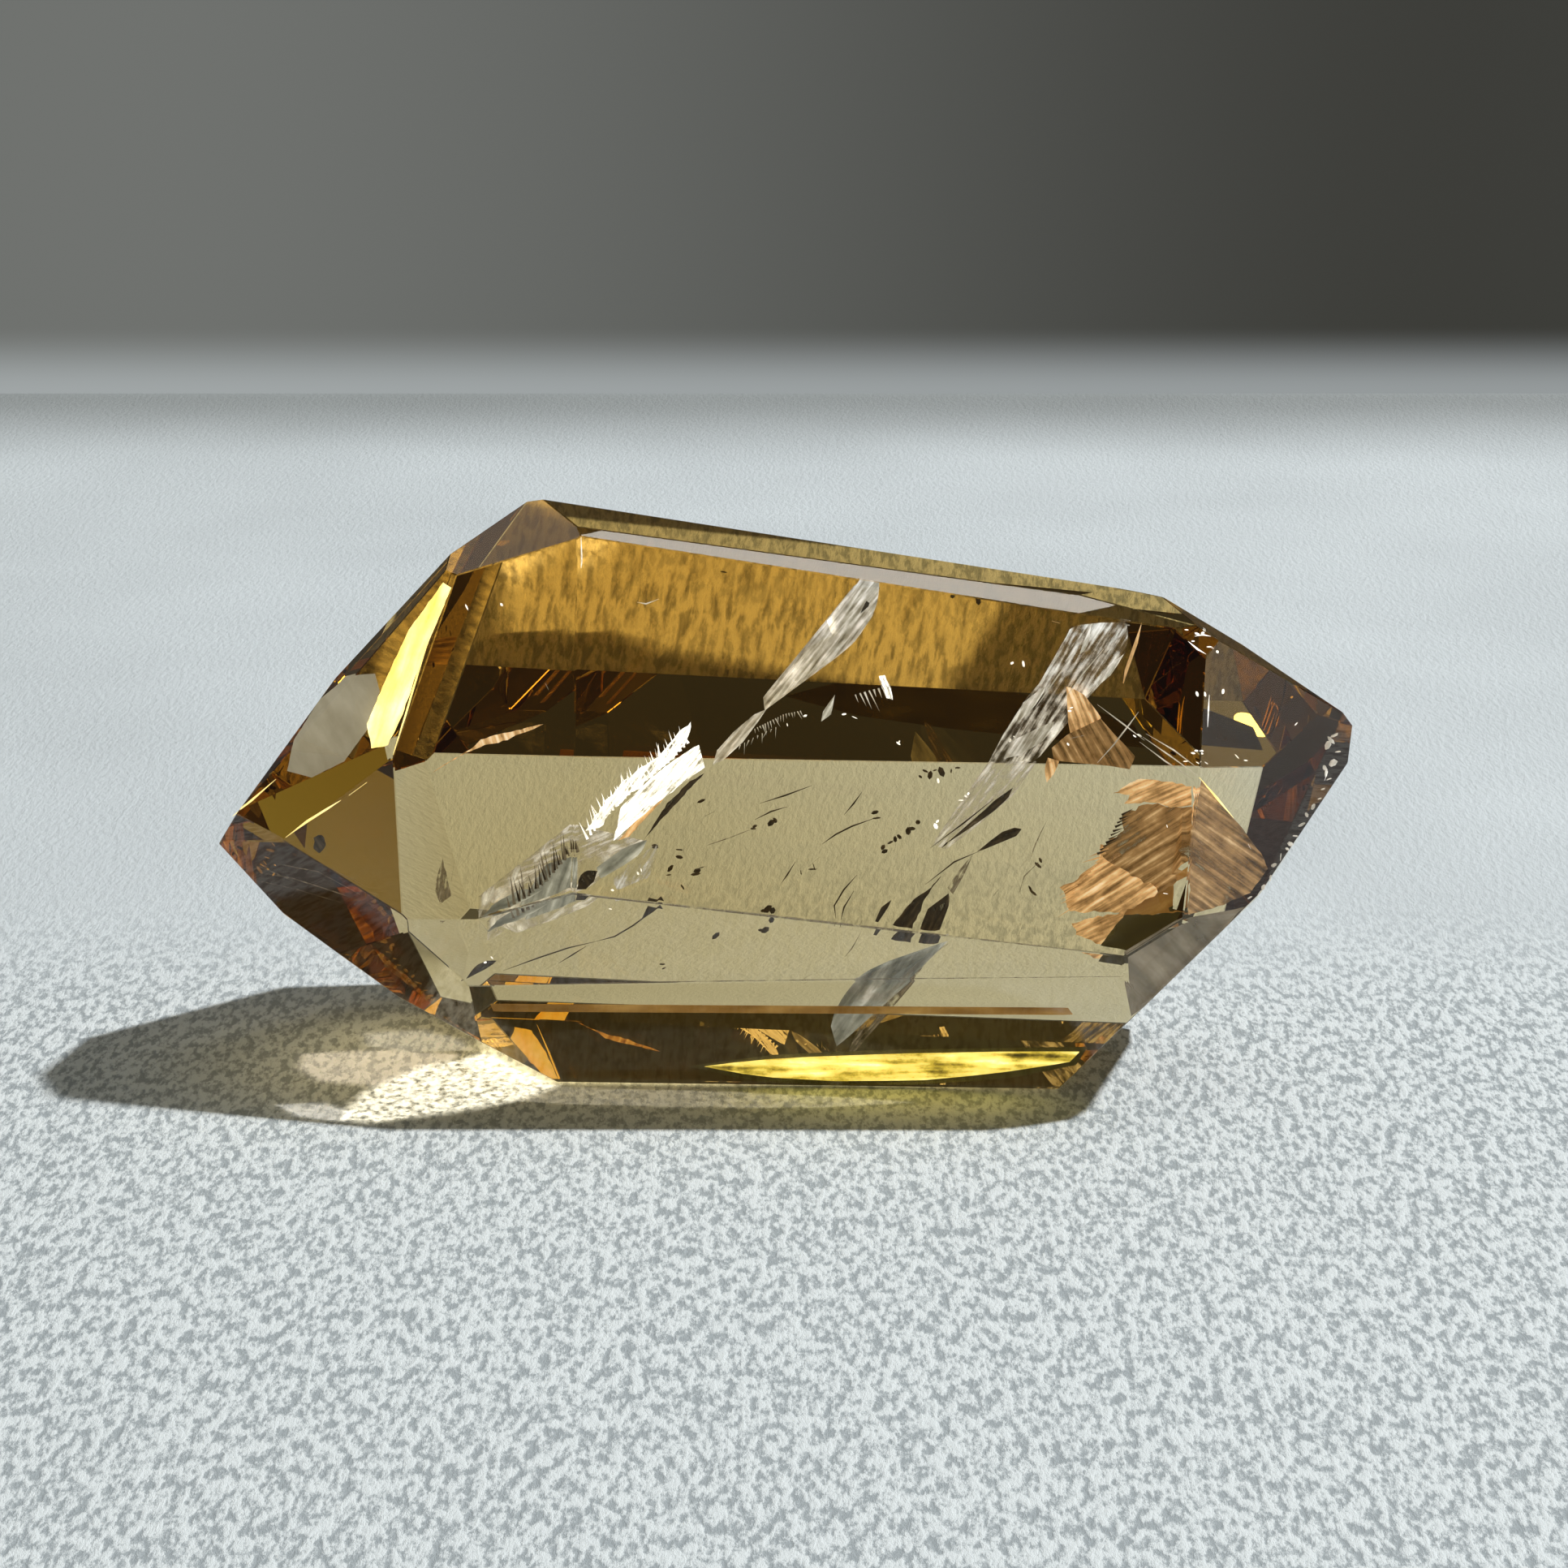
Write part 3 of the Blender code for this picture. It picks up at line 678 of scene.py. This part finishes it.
threadSets = {
    "smoky_threads": dict(finish="smoky_flake", thickness=1.1, share=0.12, lines=[
        [(806, 1120), (794, 1130), (779, 1141), (757, 1154), (734, 1160)],
        [(722, 1166), (706, 1176), (688, 1187)],
        [(734, 1160), (700, 1168), (664, 1180), (620, 1196)],
        [(1056, 1078), (1040, 1096), (1028, 1116), (1030, 1132)],
        [(1052, 1098), (1040, 1118), (1036, 1134)],
        [(1146, 1045), (1190, 1012), (1225, 984)], [(1206, 1049), (1176, 1062), (1140, 1090)],
        [(1000, 968), (968, 980), (936, 990)], [(970, 994), (950, 1000), (930, 1010)],
        [(1078, 1008), (1050, 1018), (1030, 1028), (1013, 1040)],
        [(880, 1000), (868, 1006)], [(980, 1062), (970, 1078), (963, 1088)],
        [(1230, 1096), (1224, 1104)], [(1062, 976), (1052, 990), (1040, 1004)],
    ]),
    "dim_threads": dict(finish="dim_flake", thickness=0.9, share=0.2, lines=[
        [(1290, 1010), (1276, 1040), (1268, 1062)], [(1280, 1062), (1262, 1080), (1256, 1100)],
        [(1060, 1150), (1050, 1168), (1040, 1180)], [(1085, 1140), (1070, 1156)],
        [(1000, 1200), (990, 1206)], [(1260, 1140), (1254, 1156)], [(560, 1060), (556, 1086)],
        [(590, 1078), (586, 1100)], [(930, 1020), (900, 1032), (870, 1042)], [(1010, 1056), (996, 1068)],
        [(320, 1075), (360, 1082), (410, 1098), (462, 1116)], [(322, 1086), (366, 1096), (420, 1112)],
        [(340, 1064), (392, 1074), (450, 1092)], [(300, 1060), (330, 1072), (372, 1090)],
    ]),
    "silver_threads": dict(finish="silver_veil", thickness=1.0, share=0.12, lines=[
        [(1403, 877), (1392, 892), (1372, 918), (1352, 940)],
        [(1408, 908), (1440, 930), (1476, 956)], [(1404, 914), (1436, 938), (1470, 960)],
        [(1412, 904), (1446, 924), (1478, 948)], [(1352, 868), (1384, 892), (1410, 912)],
        [(1322, 806), (1300, 838), (1276, 872)], [(1360, 800), (1336, 828), (1314, 858)],
        [(1368, 770), (1352, 796)], [(1336, 776), (1330, 800)], [(1318, 910), (1336, 906)],
        [(1214, 948), (1224, 954)], [(1176, 990), (1196, 974)], [(1296, 765), (1306, 768)],
        [(785, 742), (796, 744), (812, 738)], [(672, 842), (676, 850)],
    ]),
    # painted highlights: glowing white lines along the edges and at the chipped corner
    "painted_edge_gleams": dict(finish="bright_feather", thickness=1.2, share=0.02, lines=[
        [(1490, 856), (1489, 874), (1488, 896)], [(1538, 1040), (1541, 1046)],
        [(716, 662), (717, 690), (716, 700)], [(1472, 784), (1482, 782), (1492, 784)],
        [(1464, 790), (1476, 800), (1486, 806)], [(1632, 962), (1636, 950)],
    ]),
    # painted shade: dark lines just under the facets along two edges, where these show as dark lines
    "painted_edge_shade_lines": dict(finish="dim_flake", thickness=0.8, share=0.005, lines=[
        [(589, 1134), (648, 1117), (706, 1101), (900, 1123), (1130, 1149), (1384, 1177)],
        [(572, 1214), (800, 1210), (1100, 1206), (1384, 1203)],
    ]),
    # worn edges with painted gleams: gold lines that shine by themselves along the rubbed edges
    "wear_and_gleam_edges": dict(finish="gold_gleam", thickness=1.5, share=0.02, lines=[
        [(352, 1032), (378, 1012), (404, 996), (420, 986)], [(430, 980), (452, 964)],
        [(484, 930), (500, 880), (520, 812), (540, 750)], [(1478, 958), (1500, 984), (1520, 1008)],
        [(286, 1006), (310, 986), (340, 960)],
    ]),
    "amber_threads": dict(finish="tan_plate", thickness=2.4, share=0.10, lines=[
        [(1406, 770), (1400, 792), (1388, 826), (1384, 842)],
    ]),
}

threads = threadTree()
for name, values in threadSets.items():
    lines = [[(*spot, values["share"]) for spot in line] for line in values["lines"]]
    shapeWith(threads, name, lineMesh(name, lines), {
        "Thickness": values["thickness"] * pictureUnit, "Finish": finishes[values["finish"]]})
print("fine lines made:", sum(len(values["lines"]) for values in threadSets.values()))


# specks: a flake on each listed picture spot, at a random depth between the two shares

speckSets = {
    "dark_specks": dict(finish="smoky_flake", size=4.2, slim=0.6, seed=3, share=(0.12, 0.4),
        spots=[(928, 1021), (930, 1018), (953, 1012), (955, 1010), (950, 1014), (859, 1073), (862, 1070),
        (857, 1077), (841, 1093), (837, 1047), (837, 1056), (824, 1078), (826, 1070), (807, 1043),
        (882, 1153), (818, 1193), (1003, 1068), (1001, 1071), (987, 1075), (946, 1120), (941, 1122),
        (952, 1122), (1088, 1044), (1090, 1049), (1097, 1038), (1103, 1034), (1108, 1031), (1119, 1024),
        (1123, 1021), (1131, 1013), (1140, 950), (1146, 955), (1152, 949), (1160, 951), (1172, 950),
        (1180, 946), (1134, 957), (1078, 1001), (1080, 1008), (816, 1188), (1270, 1096), (1273, 1100),
        (1279, 1066), (1282, 1060), (864, 987), (1320, 918), (1308, 926), (1330, 900)]),
    # small specks with painted glints: white flecks that shine by themselves
    "specks_and_glints": dict(finish="bright_feather", size=2.6, slim=0.5, seed=4, share=(0.06, 0.3),
        spots=[(1190, 981), (1193, 978), (1184, 986), (1155, 1012), (1153, 1018), (1108, 914), (1107, 916),
        (1156, 962), (1218, 951), (1316, 917), (1324, 909), (1318, 876), (1320, 872), (1398, 907),
        (1404, 906), (1250, 908), (1260, 918), (1244, 912), (1247, 817), (1261, 818), (790, 1072),
        (786, 1076), (900, 920), (891, 925), (752, 1120), (1475, 781), (1482, 780), (1470, 790),
        (1490, 797), (1500, 803), (1462, 776), (1515, 1057), (1518, 1059), (1511, 1053), (1470, 928),
        (1474, 925), (1461, 938), (1476, 940), (1541, 1042), (1475, 855), (1507, 852), (1597, 892),
        (1524, 932), (1535, 937), (598, 1186), (606, 1180), (970, 893), (992, 882), (618, 745), (575, 748),
        (1040, 880), (1053, 884), (1436, 1101), (1438, 1018)]),
    # specks of the rough right edge with painted glints: silver flecks that shine by themselves
    "skin_specks_and_glints": dict(finish="silver_veil", size=5.0, slim=0.5, seed=7, share=(0.02, 0.03),
        spots=[(1636, 918), (1640, 912), (1644, 906), (1634, 952), (1637, 960), (1632, 946), (1648, 926),
        (1642, 940), (1626, 984), (1618, 994), (1604, 1016), (1596, 1030), (1590, 1040), (1578, 1056),
        (1570, 1066), (1566, 1082), (1558, 1094), (1552, 1100), (1540, 1106), (1630, 972), (1610, 1004),
        (1586, 1046)]),
}

specks = speckTree()
for name, values in speckSets.items():
    draw = random.Random(values["seed"])
    low, high = values["share"]
    mesh = bpy.data.meshes.new(name)
    mesh.from_pydata([sight.inside(x, y, draw.uniform(low, high)) for x, y in values["spots"]], [], [])
    shapeWith(specks, name, mesh, {
        "Size": values["size"] * pictureUnit, "Slim": values["slim"], "Seed": values["seed"],
        "Finish": finishes[values["finish"]]})
print("specks made:", sum(len(values["spots"]) for values in speckSets.values()))


# stage

stageValues = {
    "wide": 1.2, "front": -0.9, "back": 0.149, "rise": 0.5,
    "gap": 0.05 * mm,
    "grain": 2600.0, "drawn": 0.42, "grainSteps": (0.43, 0.54),
    "grainFades": (0.002, 0.024),  # how far behind the stone the grain softens away
    "broad": 45.0, "broadSteps": (0.35, 0.65), "broadDark": 0.92, "lumps": 0.4 * mm,
    "dark": (0.42, 0.47, 0.49), "pale": (0.84, 0.90, 0.91), "plain": (0.72, 0.78, 0.80),
    # wallLeft and wallRight are painted light and shade: the lit and the shaded tone of the glowing wall
    "wallLeft": (0.155, 0.162, 0.152), "wallRight": (0.040, 0.040, 0.034),
    "wallTurn": 0.06,  # the wall goes from one tone to the other this far each side of the middle
    "edgeStarts": 0.118, "edgeMost": 0.7,  # the soft meeting of floor and wall
    "wallBlend": 0.006, "blendMost": 0.55, "blendTone": 0.7,
}


def addStage(name, mesh, material):
    plane = addObject(name, mesh)
    dress(plane, material)


def makePlane(name, corners, material):
    mesh = bpy.data.meshes.new(name)
    mesh.from_pydata(corners, [], [(0, 1, 2, 3)])
    addStage(name, mesh, material)


def slabGrain(finish, place, drawn, detail, roughness):  # drawn out towards the back
    run = finish.node("ShaderNodeMapping", None, {"Vector": place, "Scale": (1.0, drawn, 1.0)})
    return finish.noise(run, stageValues["grain"], detail, roughness)


def shaded(tone, share):
    return tuple(share * part for part in tone)


def floorFinish(values):
    finish = Finish("pale_floor")
    place = finish.node("ShaderNodeTexCoord", None, None, "Object")
    grain = slabGrain(finish, place, values["drawn"], 5.0, 0.7)
    y = finish.node("ShaderNodeSeparateXYZ", None, {"Vector": place}, "Y")
    shade = finish.ramp(zip(values["grainSteps"], (values["dark"], values["pale"])), grain)
    tones = shaded(values["plain"], values["broadDark"]), values["plain"]
    plain = finish.ramp(zip(values["broadSteps"], tones), finish.noise(place, values["broad"], 3.0))
    colour = finish.mix(finish.fade(y, *values["grainFades"], 0.0, 1.0), shade, plain)
    edge = finish.fade(y, values["edgeStarts"], values["back"], 0.0, values["edgeMost"])
    colour = finish.mix(edge, colour, values["wallLeft"] + (1.0,))
    lumps = finish.node("ShaderNodeBump", None, {
        "Height": grain, "Strength": 0.5, "Distance": values["lumps"]})
    return finish.close(finish.node("ShaderNodeBsdfPrincipled", None, {
        "Base Color": colour, "Roughness": 0.9, "Normal": lumps}))


def wallFinish(values):
    finish = Finish("grey_wall")
    place = finish.node("ShaderNodeTexCoord", None, None, "Object")
    x = finish.node("ShaderNodeSeparateXYZ", None, {"Vector": place}, "X")
    z = finish.node("ShaderNodeSeparateXYZ", None, {"Vector": place}, "Z")
    # the wall shines by itself, lighter on the left and darker on the right: painted light and shade on the
    # backdrop
    across = finish.fade(x, -values["wallTurn"], values["wallTurn"], 0.0, 1.0)
    low = finish.fade(z, 0.0, values["wallBlend"], values["blendMost"], 0.0)
    colour = finish.mix(across, values["wallLeft"] + (1.0,), values["wallRight"] + (1.0,))
    colour = finish.mix(low, colour, shaded(values["plain"], values["blendTone"]) + (1.0,))
    return finish.close(finish.node("ShaderNodeBsdfPrincipled", None, {
        "Base Color": (0.0, 0.0, 0.0, 1.0), "Roughness": 1.0,
        "Emission Color": colour, "Emission Strength": 1.0}))


def makeStage(values):
    w, f, b, z = values["wide"], values["front"], values["back"], -values["gap"]
    makePlane("floor", [(-w, f, z), (w, f, z), (w, b, z), (-w, b, z)], floorFinish(values))
    top = values["rise"]
    makePlane("wall", [(w, b, z), (-w, b, z), (-w, b, top), (w, b, top)], wallFinish(values))


makeStage(stageValues)


# painted pools of light: glowing patches on the floor where the stone would throw light, as an outline of
# picture spots or a ring in mm

poolStack = (0.9, 0.1)  # the first pool's depth and the rise to the next, as shares of the stage's gap
poolSpeckle = (0.35, 0.62)  # the part of the grain's range that goes from dim to bright


def onFloor(x, y, height):
    toward = sight.line(x, y)
    return sight.start + toward * ((height - sight.start.z) / toward.z)


def poolFinish(name, values):
    finish = Finish(name)
    place = finish.node("ShaderNodeTexCoord", None, None, "Object")
    grain = slabGrain(finish, place, values.get("drawn", 1.0), 4.0, 0.6)
    strength = finish.node("ShaderNodeAttribute", {"attribute_name": "strength"}, None, "Fac")
    speckle = finish.fade(grain, *poolSpeckle, *values["grain"], "LINEAR")
    tone = finish.mix(strength * strength * speckle, (0.0, 0.0, 0.0, 1.0), values["colour"] + (1.0,))
    # the pool shines by itself: painted light on the floor
    light = finish.node("ShaderNodeEmission", None, {"Color": tone, "Strength": values["painted_glow"]})
    clear = finish.node("ShaderNodeBsdfTransparent")
    return finish.close(finish.node("ShaderNodeAddShader", None, {0: light, 1: clear}))


pools = {
    "gold_pool": dict(ring=[(-14.6, -1.5), (-12.0, -4.3), (8.5, -4.3), (6.0, 1.8), (-9.0, 2.5),
        (-11.5, 1.8), (-14.4, 2.4)], soft=1.3 * mm, inward=True, colour=(1.0, 0.84, 0.47), painted_glow=0.40,
        drawn=0.28, grain=(0.42, 1.25)),
    "bright_pool": dict(outline=[(598, 1300), (640, 1322), (676, 1338), (640, 1352), (560, 1366),
        (470, 1380), (425, 1378), (460, 1345), (520, 1318)], soft=0.9 * mm, colour=(1.0, 0.90, 0.68),
        painted_glow=0.75, grain=(0.1, 1.25)),
    "side_pool": dict(outline=[(380, 1300), (470, 1296), (560, 1300), (520, 1316), (468, 1336),
        (400, 1330), (375, 1316)], soft=0.8 * mm, colour=(1.0, 0.82, 0.62), painted_glow=0.24, grain=(0.6, 1.1)),
    "back_pool": dict(outline=[(455, 1274), (520, 1272), (560, 1280), (575, 1292), (500, 1294),
        (460, 1288)], soft=0.8 * mm, colour=(1.0, 0.88, 0.70), painted_glow=0.16, grain=(0.6, 1.1)),
    "edge_pool": dict(outline=[(660, 1338), (760, 1342), (900, 1346), (1040, 1352), (1120, 1358),
        (1000, 1364), (820, 1362), (700, 1360), (640, 1356)], soft=0.7 * mm, colour=(1.0, 0.86, 0.62),
        painted_glow=0.12, grain=(0.3, 1.2)),
    "tip_pool": dict(outline=[(345, 1362), (400, 1362), (430, 1370), (420, 1380), (370, 1374)],
        soft=0.6 * mm, colour=(1.0, 0.93, 0.82), painted_glow=0.3, grain=(0.4, 1.2)),
}


def makePool(name, values, height):
    ring = [Vector((x * mm, y * mm, height)) for x, y in values.get("ring", [])]
    ring += [onFloor(x, y, height) for x, y in values.get("outline", [])]
    middle = sum(ring, Vector()) / len(ring)
    soft = values["soft"] * (-1.0 if values.get("inward") else 1.0)
    edge = [spot + (spot - middle).normalized() * soft for spot in ring]
    inner, outer = (edge, ring) if values.get("inward") else (ring, edge)
    count = len(ring)
    faces = [(i, (i + 1) % count, count + (i + 1) % count, count + i) for i in range(count)]
    faces += [(2 * count, (i + 1) % count, i) for i in range(count)]
    mesh = bpy.data.meshes.new(name)
    mesh.from_pydata(inner + outer + [middle], [], faces)
    strength = mesh.attributes.new("strength", "FLOAT", "POINT")
    for index, item in enumerate(strength.data):
        item.value = 0.0 if count <= index < 2 * count else 1.0
    addStage(name, mesh, poolFinish(name, values))


deep, rise = poolStack
for index, (name, values) in enumerate(pools.items()):
    makePool(name, values, -stageValues["gap"] * (deep - rise * index))
print("stage made")


# lights

lights = {
    "key": dict(spot=(0.705, 0.02, 0.97), size=(0.035, 0.035), power=13.6, tint=(0.985, 0.99, 1.0)),
    "overhead": dict(spot=(0.2175, 0.08, 1.0), size=(0.06, 0.44), power=0.62, tint=(1.0, 0.95, 0.86)),
    "bright_side": dict(spot=(0.562, -0.099, 0.197), size=(0.21, 0.16), power=0.06,
        tint=(0.80, 1.0, 0.80)),
    "high_side": dict(spot=(-0.60, -0.063, 0.81), size=(0.14, 0.14), power=0.09, tint=(1.0, 0.86, 0.72)),
    "front_side": dict(spot=(-0.55, -0.61, 0.57), size=(0.30, 0.20), power=0.045, tint=(1.0, 0.95, 0.6)),
    "spark": dict(shape="ELLIPSE", spot=(-0.425, -0.5355, 0.4102), size=(0.010, 0.010), power=0.002,
        tint=(1.0, 0.97, 0.6)),
}


def makeLight(name, values):
    data = bpy.data.lights.new(name, "AREA")
    data.shape = values.get("shape", "RECTANGLE")
    data.size, data.size_y = values["size"]
    data.energy = values["power"]
    data.color = values["tint"]
    light = bpy.data.objects.new(name, data)
    light.location = values["spot"]
    light.rotation_euler = (-Vector(values["spot"])).to_track_quat("-Z", "Y").to_euler()
    bpy.context.scene.collection.objects.link(light)


for name, values in lights.items():
    makeLight(name, values)

surroundings = {"tint": (0.90, 0.95, 0.90), "strength": 0.065}
bounces = dict(max_bounces=32, transmission_bounces=24, glossy_bounces=20, transparent_max_bounces=24)

world = bpy.data.worlds.new("studio")
bpy.context.scene.world = world
world.use_nodes = True
sky = world.node_tree.nodes["Background"]
sky.inputs["Color"].default_value = surroundings["tint"] + (1.0,)
sky.inputs["Strength"].default_value = surroundings["strength"]

bpy.context.scene.view_settings.view_transform = "Standard"
for name, count in bounces.items():
    setattr(bpy.context.scene.cycles, name, count)
